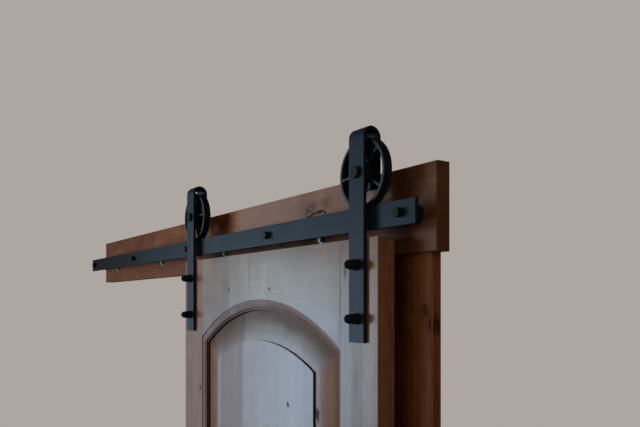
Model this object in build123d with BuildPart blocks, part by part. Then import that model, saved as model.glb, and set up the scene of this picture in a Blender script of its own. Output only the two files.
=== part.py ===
from build123d import *
import os
from math import asin, cos, degrees, radians, sin, sqrt

# A sliding door hung on a flat rail by two spoked wheels, with the header board that carries the
# rail and the flat casing of the doorway. Millimetres. +X runs along the rail, +Y into the wall and
# +Z up. The origin is where the middle rail bolt enters the wall, so the wall plane is Y = 0, and
# the word depth below means the distance out from the wall, which is -Y.

# Rail, its bolts and its spacers
bolt_pitch = 406.4
bolt_count = 5
rail_end = 36.0
rail_height = 40.0
rail_thick = 6.0
spacer_length = 33.0
spacer_radius = 15.0
spacer_chamfer = 1.0
lag_radius = 4.76
lag_thread_radius = 4.5
lag_thread_length = 26.0
lag_tip_length = 8.0
lag_tip_radius = 0.8
lag_head_flats = 14.3
lag_head_height = 9.2
bolt_clearance = 0.4
steel_ease = 0.8

# Header board and the screws that hold it
header_left_inset = 29.9
header_right_reach = 6.3
header_height = 139.7
header_thick = 27.0
header_raise = 9.5
header_ease = 1.6
screw_offset = 303.4
screw_count = 4
screw_drop = 18.0
screw_radius = 3.2
screw_clearance = 0.2
screw_length = 75.0
screw_tip_length = 7.0
screw_tip_radius = 0.5
screw_dome_share = 0.6
screw_washer_radius = 8.0
screw_washer_height = 1.4
screw_head_flats = 9.5
screw_head_height = 4.8

# Doorway and casing
doorway_width = 660.4
casing_width = 114.3
casing_thick = 19.0
casing_ease = 2.0

# Door leaf
door_width = 762.0
door_height = 2032.0
door_thick = 35.0
door_end_inset = 75.8
door_top_gap = 13.6
door_floor_gap = 12.7
door_ease = 1.2
stile_face = 100.3
top_rail_face = 98.0
lock_rail_face = 165.0
lock_rail_low = 787.0
bottom_rail_face = 241.0
arch_radius = 490.0

# Moulded edge round each panel: a quirk, a curve, a small step and a flat land
stick_width = 21.0
stick_quirk = 1.2
stick_curve_width = 16.5
stick_curve_depth = 4.0
stick_bulge = 0.6
stick_step = 2.2
groove_width = 6.6
groove_depth = 10.0

# Raised panels, whose thin edges sit in the grooves
tongue_thick = 6.0
tongue_gap = 1.0
shoulder_gap = 1.0
field_margin = 84.8
field_sink = 0.5
field_step = 3.6
slope_sink = 10.5
slope_bulge = 1.5

# Dowels that join the rails to the stiles
dowel_radius = 6.35
dowel_length = 120.0
dowel_clearance = 0.1
dowel_edge = 28.0

# Hangers: a flat strap bent over each wheel, bolted through the stile
strap_width = 40.0
strap_thick = 6.0
strap_front_gap = 13.0
strap_back_gap = 11.5
strap_insets = {"left": 43.0, "right": 49.0}
strap_below_top = 172.4
strap_crown = 57.4
strap_back_end = 25.6
door_bolt_drops = (43.7, 133.0)
door_bolt_radius = 5.0
washer_radius = 10.0
washer_thick = 2.5
acorn_flats = 17.0
acorn_hex_height = 10.0
acorn_dome_radius = 7.6
acorn_dome_height = 11.0
acorn_bore_depth = 14.0
acorn_bore_clearance = 0.05
bolt_head_flats = 17.0
bolt_head_height = 6.4
bolt_end_gap = 2.0
hex_corner_cut = 0.6

# Wheels, axles and bearings
tread_radius = 55.0
tread_gap = 0.3
flange_radius = 59.3
wheel_width = 17.0
groove_side_gap = 1.0
groove_flare = 1.0
flange_chamfer = 0.8
rim_inner_radius = 50.5
rim_inner_flat = 3.0
rim_edge_radius = 54.2
hub_radius = 14.0
web_recess = 0.5
spoke_count = 5
spoke_thick = 3.4
spoke_fillet = 2.4
spoke_bite = 0.4
spoke_angles = {"left": 3.0, "right": -30.5}
axle_radius = 4.0
axle_clearance = 0.05
axle_head_radius = 10.0
axle_head_height = 5.6
axle_head_chamfer = 0.8
axle_nut_flats = 13.0
axle_nut_height = 6.8
axle_end_past_nut = 2.0
bearing_radius = 11.0
bearing_width = 7.0
bearing_inner_land = 6.0
bearing_outer_land = 9.0
bearing_shoulder = 1.2
bearing_clearance = 0.02
ball_radius = 1.98
ball_clearance = 0.05
ball_count = 7
sleeve_radius = 5.8

# Pull handle
pull_height = 1000.0
pull_length = 280.0
pull_width = 25.0
pull_thick = 6.0
pull_reach = 42.0
pull_foot = 32.0
pull_slant = 20.0
pull_bend = 9.0
pull_screw_radius = 2.6
pull_screw_length = 28.0
pull_screw_head_radius = 5.4
pull_screw_head_height = 2.6

# Floor guide, screwed to the left casing leg
guide_width = 46.0
guide_offset = 2.0
guide_thick = 3.0
guide_height = 85.0
guide_lift = 2.0
guide_bend = 4.0
channel_thick = 2.5
channel_height = 34.0
channel_side_gap = 2.0
guide_screw_radius = 2.4
guide_screw_length = 16.0
guide_screw_head_radius = 4.6
guide_screw_head_height = 2.4
guide_screw_rise = 28.0
guide_screw_pitch = 38.0
guide_bolt_radius = 2.5
guide_bolt_pitch = 22.0
guide_bolt_head_radius = 4.2
guide_bolt_head_height = 1.6

# Worked out from the sizes above
rail_length = bolt_pitch * (bolt_count - 1) + 2 * rail_end
rail_back = header_thick + spacer_length
rail_front = rail_back + rail_thick
rail_middle = rail_back + rail_thick / 2
door_face = rail_middle + strap_front_gap
door_back = door_face - door_thick
door_middle = (door_face + door_back) / 2
door_faces = ((door_face, -1), (door_back, 1))
door_x = rail_length / 2 - door_end_inset - door_width / 2
door_top = -rail_height / 2 - door_top_gap
door_bottom = door_top - door_height
floor_z = door_bottom - door_floor_gap
half_opening = door_width / 2 - stile_face
arch_z = door_top - top_rail_face - arch_radius
lock_low = door_bottom + lock_rail_low
lock_high = lock_low + lock_rail_face
bottom_high = door_bottom + bottom_rail_face
land_depth = stick_curve_depth + stick_step
tongue_sink = (door_thick - tongue_thick) / 2
tongue_inset = stick_width - groove_depth + tongue_gap
header_low = header_raise - header_height / 2
header_length = rail_length - header_left_inset + header_right_reach
header_x = (header_left_inset + header_right_reach) / 2
axle_z = rail_height / 2 + tread_radius + tread_gap
strap_front = door_face + strap_thick
strap_back = rail_middle - strap_back_gap - strap_thick
nut_seat = strap_front + washer_thick
bolt_hole_radius = lag_radius + bolt_clearance
door_bolt_hole_radius = door_bolt_radius + bolt_clearance
axle_hole_radius = axle_radius + axle_clearance
ball_track_radius = (bearing_inner_land + bearing_outer_land) / 2
sides = {"left": -1, "right": 1}
bolt_points = [(bolt_pitch * (i - (bolt_count - 1) / 2), 0) for i in range(bolt_count)]
screw_points = [
    (rail_length / 2 - screw_offset - bolt_pitch * i, -screw_drop) for i in range(screw_count)
]
hanger_xs = {
    name: door_x + side * (door_width / 2 - strap_insets[name]) for name, side in sides.items()
}
door_bolt_points = [(x, door_top - drop) for x in hanger_xs.values() for drop in door_bolt_drops]
axle_points = [(x, axle_z) for x in hanger_xs.values()]


def wall_plane(depth):
    # Local x and y are X and Z, and an extrusion grows towards the room
    return Plane.XZ.offset(depth)


def depth_plane(x, z, depth=0.0, angle=0.0):
    # Local x starts along +X, turned up by the angle, and local y is the depth from the one given
    turn = radians(angle)
    return Plane(
        origin=(x, -depth, z),
        x_dir=(cos(turn), 0, sin(turn)),
        z_dir=(sin(turn), 0, -cos(turn)),
    )


def height_plane(x):
    # Local x is Z and local y is the depth, and an extrusion grows towards +X
    return Plane(origin=(x, 0, 0), x_dir=(0, 0, 1), z_dir=(1, 0, 0))


def front_axis(x, z):
    return Axis((x, 0, z), (0, 1, 0))


def at_depth(points, depth):
    # The same points as places in space, at one depth
    return [(x, -depth, z) for x, z in points]


def facing_wall(points, depth):
    # The same, turned so that what is made towards the room points to the wall
    return [Location((x, -depth, z), (0, 0, 180)) for x, z in points]


def save(piece, name):
    piece.part.label = name
    export_step(piece.part, f"parts/{name}.step")


def round_bar(radius, start, end, bore=0.0):
    # A round bar or tube between two depths
    with BuildPart() as bar:
        with BuildSketch(wall_plane(start)):
            Circle(radius)
            if bore:
                Circle(bore, mode=Mode.SUBTRACT)
        extrude(amount=end - start)
    return bar.part


def hex_block(flats, height, bore=0.0):
    # A hexagon standing towards the room, with its outer corners turned off
    rim = flats / 2 + hex_corner_cut
    with BuildPart() as block:
        with BuildSketch(wall_plane(0)):
            RegularPolygon(flats / 2, 6, major_radius=False)
            if bore:
                Circle(bore, mode=Mode.SUBTRACT)
        extrude(amount=height)
        with BuildSketch(depth_plane(0, 0)):
            with BuildLine():
                Polyline(
                    (0, 0),
                    (flats, 0),
                    (flats, height - (flats - rim) / 2),
                    (rim - hex_corner_cut, height),
                    (0, height),
                    close=True,
                )
            make_face()
        revolve(axis=front_axis(0, 0), mode=Mode.INTERSECT)
    return block.part


def pointed_shank(radius, length, tip_length, tip_radius):
    # A round shank that runs towards the wall and ends in a blunt cone
    with BuildPart() as shank:
        with BuildSketch(depth_plane(0, 0)):
            with BuildLine():
                Polyline(
                    (0, 0),
                    (radius, 0),
                    (radius, tip_length - length),
                    (tip_radius, -length),
                    (0, -length),
                    close=True,
                )
            make_face()
        revolve(axis=front_axis(0, 0))
    return shank.part


def pan_screw(radius, length, head_radius, head_height):
    # A head with a low dome towards the room, and its pointed shank going in
    dome_height = head_height * screw_dome_share
    dome_radius = (head_radius**2 + dome_height**2) / (2 * dome_height)
    dome_angle = degrees(asin(head_radius / dome_radius))
    with BuildPart() as screw:
        with BuildSketch(depth_plane(0, 0)):
            with BuildLine():
                Polyline(
                    (0, head_height),
                    (0, 0),
                    (head_radius, 0),
                    (head_radius, head_height - dome_height),
                )
                CenterArc((0, head_height - dome_radius), dome_radius, 90 - dome_angle, dome_angle)
            make_face()
        revolve(axis=front_axis(0, 0))
        add(pointed_shank(radius, length, screw_tip_length, screw_tip_radius))
    return screw.part


def on_edge(edge, inward, face, sink, points):
    # Points given as distances in from an edge line and down from a face of the door. The plane
    # is one of (position, depth); inward is 1 or -1 and sink is -1 at the front, 1 at the back
    return [(edge + inward * u, face + sink * v) for u, v in points]


def edge_waste(edge, inward):
    # What a moulded edge loses at both faces, and the groove that holds the panel
    curve_middle = (
        (stick_curve_width + stick_bulge) / 2,
        (stick_quirk + stick_curve_depth) / 2 - stick_bulge,
    )
    outline = (
        (0, -1),
        (0, stick_quirk),
        curve_middle,
        (stick_curve_width, stick_curve_depth),
        (stick_curve_width, land_depth),
        (stick_width + 1, land_depth),
        (stick_width + 1, -1),
    )
    with BuildSketch() as waste:
        for face, sink in door_faces:
            points = on_edge(edge, inward, face, sink, outline)
            with BuildLine():
                Line(points[0], points[1])
                ThreePointArc(*points[1:4])
                Polyline(*points[3:], points[0])
            make_face()
        with Locations((edge + inward * (stick_width + 1), door_middle)):
            Rectangle(
                groove_depth + 1,
                groove_width,
                align=(Align.MAX if inward > 0 else Align.MIN, Align.CENTER),
            )
    return waste.sketch_local


def slope_waste(edge, inward):
    # What both faces of a raised panel lose, measured from the same edge line
    slope_high = field_sink + field_step
    slope_end = stick_width + shoulder_gap
    outline = (
        (field_margin, slope_high),
        ((field_margin + slope_end) / 2, (slope_high + slope_sink) / 2 - slope_bulge),
        (slope_end, slope_sink),
        (slope_end, tongue_sink),
        (-1, tongue_sink),
        (-1, -1),
        (field_margin, -1),
    )
    with BuildSketch() as waste:
        for face, sink in door_faces:
            points = on_edge(edge, inward, face, sink, outline)
            with BuildLine():
                ThreePointArc(*points[:3])
                Polyline(*points[2:], points[0])
            make_face()
    return waste.sketch_local


def stile_blank(side):
    # A stile with its moulded edge, before its holes
    with BuildPart() as blank:
        with BuildSketch(depth_plane(door_x, door_top)):
            with Locations((side * door_width / 2, door_back)):
                Rectangle(
                    stile_face + stick_width,
                    door_thick,
                    align=(Align.MAX if side > 0 else Align.MIN, Align.MIN),
                )
            add(edge_waste(side * half_opening, -side), mode=Mode.SUBTRACT)
        extrude(amount=door_height)
        fillet(blank.edges().filter_by(Axis.Z).group_by(Axis.X)[-1 if side > 0 else 0], door_ease)
    return blank.part


def dowel_bars(radius, length):
    # Round bars across the joints, two at each end of each rail
    heights = [
        door_top - dowel_edge,
        door_top - top_rail_face - stick_width,
        lock_high - dowel_edge,
        lock_low + dowel_edge,
        bottom_high - dowel_edge,
        door_bottom + 2 * dowel_edge,
    ]
    with BuildPart() as bars:
        with Locations(
            *[
                (door_x + side * half_opening, -door_middle, z)
                for side in sides.values()
                for z in heights
            ]
        ):
            Cylinder(radius, length, rotation=(0, 90, 0))
    return bars.part


def straight_rail(low, high, panel_below):
    # A rail between the stiles, coped over their moulded edges
    with BuildPart() as bar:
        with BuildSketch(height_plane(door_x - half_opening)):
            with Locations((high + stick_width, door_back)):
                Rectangle(
                    high - low + stick_width * (2 if panel_below else 1),
                    door_thick,
                    align=(Align.MAX, Align.MIN),
                )
            add(edge_waste(high, 1), mode=Mode.SUBTRACT)
            if panel_below:
                add(edge_waste(low, -1), mode=Mode.SUBTRACT)
        extrude(amount=2 * half_opening)
        for blank in stile_blanks.values():
            add(blank, mode=Mode.SUBTRACT)
        add(dowel_holes, mode=Mode.SUBTRACT)
    return bar


def side_slopes(low, high):
    # The waste above a raised panel's slopes along both stiles
    with BuildPart() as waste:
        with BuildSketch(depth_plane(door_x, high)):
            for side in sides.values():
                add(slope_waste(side * half_opening, -side))
        extrude(amount=high - low)
    return waste.part


def end_slope(edge, inward):
    # The waste above a raised panel's slopes along a straight rail
    with BuildPart() as waste:
        with BuildSketch(height_plane(door_x - half_opening)):
            add(slope_waste(edge, inward))
        extrude(amount=2 * half_opening)
    return waste.part


def wheel(x, angle):
    # A grooved rim, dished towards both faces, on thin deep spokes, with the bearing's seat in its hub
    half_width = wheel_width / 2
    half_tread = rail_thick / 2 + groove_side_gap
    web_width = wheel_width - 2 * web_recess
    web_radius = rim_edge_radius + spoke_bite
    with BuildPart() as body:
        with BuildSketch(wall_plane(rail_middle - web_width / 2)):
            with Locations((x, axle_z)):
                Circle(web_radius)
        extrude(amount=web_width)
        with BuildSketch(wall_plane(rail_middle - web_width / 2)) as windows:
            with Locations((x, axle_z)):
                Circle(web_radius)
                Circle(hub_radius, mode=Mode.SUBTRACT)
                with PolarLocations(0, spoke_count, start_angle=angle):
                    Rectangle(
                        web_radius + spoke_thick,
                        spoke_thick,
                        align=(Align.MIN, Align.CENTER),
                        mode=Mode.SUBTRACT,
                    )
            fillet(windows.vertices(), spoke_fillet)
        extrude(amount=web_width, mode=Mode.SUBTRACT)
        with BuildSketch(depth_plane(x, axle_z, rail_middle)):
            with BuildLine():
                Polyline(
                    (rim_inner_radius, rim_inner_flat),
                    (rim_edge_radius, half_width),
                    (flange_radius - flange_chamfer, half_width),
                    (flange_radius, half_width - flange_chamfer),
                    (flange_radius, half_tread + groove_flare),
                    (tread_radius, half_tread),
                    (tread_radius, -half_tread),
                    (flange_radius, -half_tread - groove_flare),
                    (flange_radius, flange_chamfer - half_width),
                    (flange_radius - flange_chamfer, -half_width),
                    (rim_edge_radius, -half_width),
                    (rim_inner_radius, -rim_inner_flat),
                    close=True,
                )
            make_face()
        revolve(axis=front_axis(x, axle_z))
        with Locations((x, 0, axle_z)):
            add(
                round_bar(
                    bearing_radius + bearing_clearance,
                    rail_middle - bearing_width / 2,
                    rail_middle + half_width,
                ),
                mode=Mode.SUBTRACT,
            )
            add(
                round_bar(
                    bearing_radius - bearing_shoulder,
                    rail_middle - half_width,
                    rail_middle,
                ),
                mode=Mode.SUBTRACT,
            )
    return body


def bearing_ring(x, inner_radius, outer_radius):
    # A bearing ring with the track that its balls run in
    with BuildPart() as ring:
        with BuildSketch(depth_plane(x, axle_z, rail_middle)):
            with Locations((inner_radius, 0)):
                Rectangle(
                    outer_radius - inner_radius, bearing_width, align=(Align.MIN, Align.CENTER)
                )
            with Locations((ball_track_radius, 0)):
                Circle(ball_radius + ball_clearance, mode=Mode.SUBTRACT)
        revolve(axis=front_axis(x, axle_z))
    return ring


def bearing_balls(x):
    # The balls of one bearing, in a ring round its axle
    with BuildPart() as balls:
        with Locations(wall_plane(rail_middle).location * Location((x, axle_z, 0))):
            with PolarLocations(ball_track_radius, ball_count):
                Sphere(ball_radius)
    return balls


def strap(x):
    # Flat bar bent over the wheel: the long front leg carries the door, the short back leg the axle
    crown_z = axle_z + strap_crown
    low_z = door_top - strap_below_top
    back_z = axle_z - strap_back_end
    inside_radius = (strap_front_gap + strap_back_gap) / 2
    bend_radius = inside_radius + strap_thick
    with BuildPart() as bar:
        with BuildSketch(height_plane(x - strap_width / 2)):
            with Locations((crown_z, door_face - inside_radius)):
                Circle(bend_radius)
                Circle(inside_radius, mode=Mode.SUBTRACT)
                Rectangle(
                    bend_radius,
                    2 * bend_radius,
                    align=(Align.MAX, Align.CENTER),
                    mode=Mode.SUBTRACT,
                )
            with Locations((crown_z, door_face)):
                Rectangle(crown_z - low_z, strap_thick, align=(Align.MAX, Align.MIN))
            with Locations((crown_z, strap_back)):
                Rectangle(crown_z - back_z, strap_thick, align=(Align.MAX, Align.MIN))
        extrude(amount=strap_width)
        fillet(bar.faces().filter_by(Axis.X).edges(), steel_ease)
        with BuildSketch(wall_plane(0)):
            with Locations((x, axle_z)):
                Circle(axle_hole_radius)
            with Locations(*[point for point in door_bolt_points if point[0] == x]):
                Circle(door_bolt_hole_radius)
        extrude(amount=strap_front, mode=Mode.SUBTRACT)
    return bar


# Header board
with BuildPart() as header_board:
    with BuildSketch(wall_plane(0)):
        with Locations((header_x, header_raise)):
            Rectangle(header_length, header_height)
    extrude(amount=header_thick)
    fillet(header_board.edges().group_by(Axis.Y)[0], header_ease)
    with BuildSketch(wall_plane(0)):
        with Locations(*bolt_points):
            Circle(bolt_hole_radius)
        with Locations(*screw_points):
            Circle(screw_radius + screw_clearance)
    extrude(amount=header_thick, mode=Mode.SUBTRACT)

# Screws that hold the header board, hidden behind the rail
with BuildPart() as header_screws:
    with Locations(*at_depth(screw_points, header_thick)):
        add(round_bar(screw_washer_radius, 0, screw_washer_height))
        add(pointed_shank(screw_radius, screw_length, screw_tip_length, screw_tip_radius))
    with Locations(*at_depth(screw_points, header_thick + screw_washer_height)):
        add(hex_block(screw_head_flats, screw_head_height))

# Casing legs, from the floor to the underside of the header board
casings = {}
for name, side in sides.items():
    with BuildPart() as casing:
        with BuildSketch(wall_plane(0)):
            with Locations((door_x + side * doorway_width / 2, floor_z)):
                Rectangle(
                    casing_width,
                    header_low - floor_z,
                    align=(Align.MIN if side > 0 else Align.MAX, Align.MIN),
                )
        extrude(amount=casing_thick)
        fillet(casing.edges().filter_by(Axis.Z).group_by(Axis.Y)[0], casing_ease)
    casings[name] = casing

# Rail
with BuildPart() as rail:
    with BuildSketch(wall_plane(rail_back)):
        Rectangle(rail_length, rail_height)
    extrude(amount=rail_thick)
    fillet(rail.faces().filter_by(Axis.Y).edges(), steel_ease)
    with BuildSketch(wall_plane(rail_back)):
        with Locations(*bolt_points):
            Circle(bolt_hole_radius)
    extrude(amount=rail_thick, mode=Mode.SUBTRACT)

# Spacers between the rail and the header board
with BuildPart() as rail_spacers:
    with BuildSketch(wall_plane(header_thick)):
        with Locations(*bolt_points):
            Circle(spacer_radius)
    extrude(amount=spacer_length)
    chamfer(rail_spacers.edges().filter_by(GeomType.CIRCLE), spacer_chamfer)
    with BuildSketch(wall_plane(header_thick)):
        with Locations(*bolt_points):
            Circle(bolt_hole_radius)
    extrude(amount=spacer_length, mode=Mode.SUBTRACT)

# Lag bolts through the rail, its spacers and the header board
with BuildPart() as rail_lag_bolts:
    with Locations(*at_depth(bolt_points, rail_front)):
        add(hex_block(lag_head_flats, lag_head_height))
    with Locations(*at_depth(bolt_points, 0)):
        add(round_bar(lag_radius, 0, rail_front))
        add(
            pointed_shank(
                lag_thread_radius,
                lag_thread_length + lag_tip_length,
                lag_tip_length,
                lag_tip_radius,
            )
        )

# Dowels, and the holes that they fill
dowel_holes = dowel_bars(dowel_radius + dowel_clearance, dowel_length + 2 * dowel_clearance)
with BuildPart() as rail_dowels:
    add(dowel_bars(dowel_radius, dowel_length))

# Pull handle: a flat bar bent to stand off the face, one screw in each foot
pull_x = door_x + door_width / 2 - stile_face / 2
pull_z = floor_z + pull_height
pull_screw_points = [(pull_x, pull_z + end * (pull_length - pull_foot) / 2) for end in (-1, 1)]
with BuildPart() as pull_handle:
    with BuildSketch(height_plane(pull_x - pull_width / 2)):
        foot_depth = door_face + pull_thick / 2
        grip_depth = door_face + pull_reach - pull_thick / 2
        half_length = pull_length / 2
        half_inside = half_length - pull_foot
        half_grip = half_inside - pull_slant
        with BuildLine() as bar_line:
            FilletPolyline(
                (pull_z - half_length, foot_depth),
                (pull_z - half_inside, foot_depth),
                (pull_z - half_grip, grip_depth),
                (pull_z + half_grip, grip_depth),
                (pull_z + half_inside, foot_depth),
                (pull_z + half_length, foot_depth),
                radius=pull_bend,
            )
        trace(line_width=pull_thick)
    extrude(amount=pull_width)
    fillet(pull_handle.faces().filter_by(Axis.X).edges(), steel_ease)
    with BuildSketch(wall_plane(door_face)):
        with Locations(*pull_screw_points):
            Circle(pull_screw_radius + screw_clearance)
    extrude(amount=pull_thick, mode=Mode.SUBTRACT)

with BuildPart() as pull_screws:
    with Locations(*at_depth(pull_screw_points, door_face + pull_thick)):
        add(
            pan_screw(
                pull_screw_radius,
                pull_screw_length,
                pull_screw_head_radius,
                pull_screw_head_height,
            )
        )

# Stiles, with the holes for the dowels, the hanger bolts and the pull's screws
stile_blanks = {name: stile_blank(side) for name, side in sides.items()}
stiles = {}
for name, side in sides.items():
    with BuildPart() as stile:
        add(stile_blanks[name])
        add(dowel_holes, mode=Mode.SUBTRACT)
        with BuildSketch(wall_plane(door_back)):
            with Locations(*[point for point in door_bolt_points if point[0] == hanger_xs[name]]):
                Circle(door_bolt_hole_radius)
        extrude(amount=door_thick, mode=Mode.SUBTRACT)
        if side > 0:
            with Locations(*at_depth(pull_screw_points, 0)):
                add(
                    round_bar(
                        pull_screw_radius + screw_clearance,
                        door_face + pull_thick - pull_screw_length,
                        door_face,
                    ),
                    mode=Mode.SUBTRACT,
                )
    stiles[name] = stile

# Top rail, its lower edge an arc
with BuildPart() as top_rail:
    with BuildSketch(wall_plane(door_back)):
        spring_drop = arch_radius - sqrt((arch_radius - stick_width) ** 2 - half_opening**2)
        with Locations((door_x, door_top)):
            Rectangle(
                2 * half_opening, top_rail_face + spring_drop, align=(Align.CENTER, Align.MAX)
            )
        with Locations((door_x, arch_z)):
            Circle(arch_radius - stick_width, mode=Mode.SUBTRACT)
    extrude(amount=door_thick)
    with BuildSketch(depth_plane(door_x, arch_z)):
        add(edge_waste(arch_radius, -1))
    revolve(axis=front_axis(door_x, arch_z), mode=Mode.SUBTRACT)
    for blank in stile_blanks.values():
        add(blank, mode=Mode.SUBTRACT)
    add(dowel_holes, mode=Mode.SUBTRACT)

# Lock rail and bottom rail
lock_rail = straight_rail(lock_low, lock_high, panel_below=True)
bottom_rail = straight_rail(door_bottom, bottom_high, panel_below=False)

# Upper panel, arched at its top
tongue_half = half_opening - tongue_inset
arch_tongue_radius = arch_radius - tongue_inset
arch_half_angle = degrees(asin(half_opening / arch_radius)) + 2
with BuildPart() as upper_panel:
    with BuildSketch(wall_plane(door_back + field_sink)):
        spring_z = arch_z + sqrt(arch_tongue_radius**2 - tongue_half**2)
        with BuildLine():
            Polyline(
                (door_x - tongue_half, spring_z),
                (door_x - tongue_half, lock_high + tongue_inset),
                (door_x + tongue_half, lock_high + tongue_inset),
                (door_x + tongue_half, spring_z),
            )
            ThreePointArc(
                (door_x + tongue_half, spring_z),
                (door_x, arch_z + arch_tongue_radius),
                (door_x - tongue_half, spring_z),
            )
        make_face()
    extrude(amount=door_thick - 2 * field_sink)
    with BuildSketch(depth_plane(door_x, arch_z, angle=90 + arch_half_angle)):
        add(slope_waste(arch_radius, -1))
    revolve(
        axis=front_axis(door_x, arch_z), revolution_arc=2 * arch_half_angle, mode=Mode.SUBTRACT
    )
    add(side_slopes(lock_high, arch_z + arch_radius), mode=Mode.SUBTRACT)
    add(end_slope(lock_high, 1), mode=Mode.SUBTRACT)

# Lower panel
with BuildPart() as lower_panel:
    with BuildSketch(wall_plane(door_back + field_sink)):
        with Locations((door_x, (bottom_high + lock_low) / 2)):
            Rectangle(2 * tongue_half, lock_low - bottom_high - 2 * tongue_inset)
    extrude(amount=door_thick - 2 * field_sink)
    add(side_slopes(bottom_high, lock_low), mode=Mode.SUBTRACT)
    add(end_slope(bottom_high, 1), mode=Mode.SUBTRACT)
    add(end_slope(lock_low, -1), mode=Mode.SUBTRACT)

# Hanger bolts: heads behind the door, washers at both faces, domed nuts on the straps
with BuildPart() as door_bolts:
    with Locations(*facing_wall(door_bolt_points, door_back - washer_thick)):
        add(hex_block(bolt_head_flats, bolt_head_height))
    with Locations(*at_depth(door_bolt_points, 0)):
        add(
            round_bar(
                door_bolt_radius,
                door_back - washer_thick,
                nut_seat + acorn_bore_depth - bolt_end_gap,
            )
        )

with BuildPart() as back_washers:
    with Locations(*at_depth(door_bolt_points, 0)):
        add(round_bar(washer_radius, door_back - washer_thick, door_back, door_bolt_hole_radius))

with BuildPart() as front_washers:
    with Locations(*at_depth(door_bolt_points, 0)):
        add(round_bar(washer_radius, strap_front, nut_seat, door_bolt_hole_radius))

with BuildPart() as domed_nut:
    add(hex_block(acorn_flats, acorn_hex_height))
    with BuildSketch(depth_plane(0, 0)):
        dome_base = acorn_hex_height + acorn_dome_height - acorn_dome_radius
        with BuildLine():
            Polyline((0, dome_base + acorn_dome_radius), (0, 0), (acorn_dome_radius, 0))
            Line((acorn_dome_radius, 0), (acorn_dome_radius, dome_base))
            CenterArc((0, dome_base), acorn_dome_radius, 0, 90)
        make_face()
    revolve(axis=front_axis(0, 0))
    add(
        round_bar(door_bolt_radius + acorn_bore_clearance, 0, acorn_bore_depth), mode=Mode.SUBTRACT
    )

with BuildPart() as acorn_nuts:
    with Locations(*at_depth(door_bolt_points, nut_seat)):
        add(domed_nut.part)

# Axles: a round head on the strap, sleeves that centre the bearing and a nut behind
with BuildPart() as axle_bolts:
    with Locations(*at_depth(axle_points, strap_front)):
        with BuildPart(mode=Mode.PRIVATE) as axle_head:
            with BuildSketch(wall_plane(0)):
                Circle(axle_head_radius)
            extrude(amount=axle_head_height)
            chamfer(axle_head.edges().group_by(Axis.Y)[0], axle_head_chamfer)
        add(axle_head.part)
    with Locations(*at_depth(axle_points, 0)):
        add(
            round_bar(axle_radius, strap_back - axle_nut_height - axle_end_past_nut, strap_front)
        )

with BuildPart() as axle_nuts:
    with Locations(*facing_wall(axle_points, strap_back)):
        add(hex_block(axle_nut_flats, axle_nut_height, axle_hole_radius))

with BuildPart() as axle_sleeves:
    with Locations(*at_depth(axle_points, 0)):
        back_seat = strap_back + strap_thick
        add(
            round_bar(
                sleeve_radius, back_seat, rail_middle - bearing_width / 2, axle_hole_radius
            )
        )
        add(
            round_bar(
                sleeve_radius, rail_middle + bearing_width / 2, door_face, axle_hole_radius
            )
        )

# Floor guide: an angle bracket on the casing leg and a channel that the door's foot runs in
guide_x = door_x - doorway_width / 2 - guide_offset - guide_width / 2
guide_low = floor_z + guide_lift
channel_low = guide_low + guide_thick
channel_back = door_back - channel_side_gap - channel_thick
channel_front = door_face + channel_side_gap + channel_thick
guide_screw_points = [
    (guide_x, guide_low + guide_screw_rise + i * guide_screw_pitch) for i in range(2)
]
guide_bolt_points = [
    (guide_x + side * guide_bolt_pitch / 2, -door_middle) for side in (-1, 1)
]
with BuildPart() as guide_bracket:
    with BuildSketch(height_plane(guide_x - guide_width / 2)) as angle_profile:
        with Locations((guide_low, casing_thick)):
            Rectangle(guide_height, channel_front - casing_thick, align=(Align.MIN, Align.MIN))
        with Locations((channel_low, casing_thick + guide_thick)):
            Rectangle(guide_height, channel_front, align=(Align.MIN, Align.MIN), mode=Mode.SUBTRACT)
        outer = angle_profile.vertices().group_by(Axis.X)[0].sort_by(Axis.Y)[0]
        fillet(outer, guide_bend)
    extrude(amount=guide_width)
    with BuildSketch(wall_plane(0)):
        with Locations(*guide_screw_points):
            Circle(guide_screw_radius + screw_clearance)
    extrude(amount=casing_thick + guide_thick, mode=Mode.SUBTRACT)
    with BuildSketch(Plane.XY.offset(floor_z)):
        with Locations(*guide_bolt_points):
            Circle(guide_bolt_radius)
    extrude(amount=guide_lift + guide_thick, mode=Mode.SUBTRACT)

with BuildPart() as guide_channel:
    with BuildSketch(height_plane(guide_x - guide_width / 2)):
        with Locations((channel_low, channel_back)):
            Rectangle(
                channel_height, channel_front - channel_back, align=(Align.MIN, Align.MIN)
            )
        with Locations((channel_low + channel_thick, channel_back + channel_thick)):
            Rectangle(
                channel_height,
                channel_front - channel_back - 2 * channel_thick,
                align=(Align.MIN, Align.MIN),
                mode=Mode.SUBTRACT,
            )
    extrude(amount=guide_width)
    with BuildSketch(Plane.XY.offset(channel_low)):
        with Locations(*guide_bolt_points):
            Circle(guide_bolt_radius)
    extrude(amount=channel_thick, mode=Mode.SUBTRACT)

with BuildPart() as guide_bolts:
    with BuildSketch(Plane.XY.offset(guide_low)):
        with Locations(*guide_bolt_points):
            Circle(guide_bolt_radius)
    extrude(amount=guide_thick + channel_thick)
    with BuildSketch(Plane.XY.offset(channel_low + channel_thick)):
        with Locations(*guide_bolt_points):
            Circle(guide_bolt_head_radius)
    extrude(amount=guide_bolt_head_height)

with BuildPart() as guide_screws:
    with Locations(*at_depth(guide_screw_points, casing_thick + guide_thick)):
        add(
            pan_screw(
                guide_screw_radius,
                guide_screw_length,
                guide_screw_head_radius,
                guide_screw_head_height,
            )
        )

# Pilot holes for the guide's screws in the left casing leg
with BuildPart() as casing_left:
    add(casings["left"].part)
    with Locations(*at_depth(guide_screw_points, 0)):
        add(
            round_bar(
                guide_screw_radius + screw_clearance,
                casing_thick + guide_thick - guide_screw_length,
                casing_thick,
            ),
            mode=Mode.SUBTRACT,
        )
casings["left"] = casing_left

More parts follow.
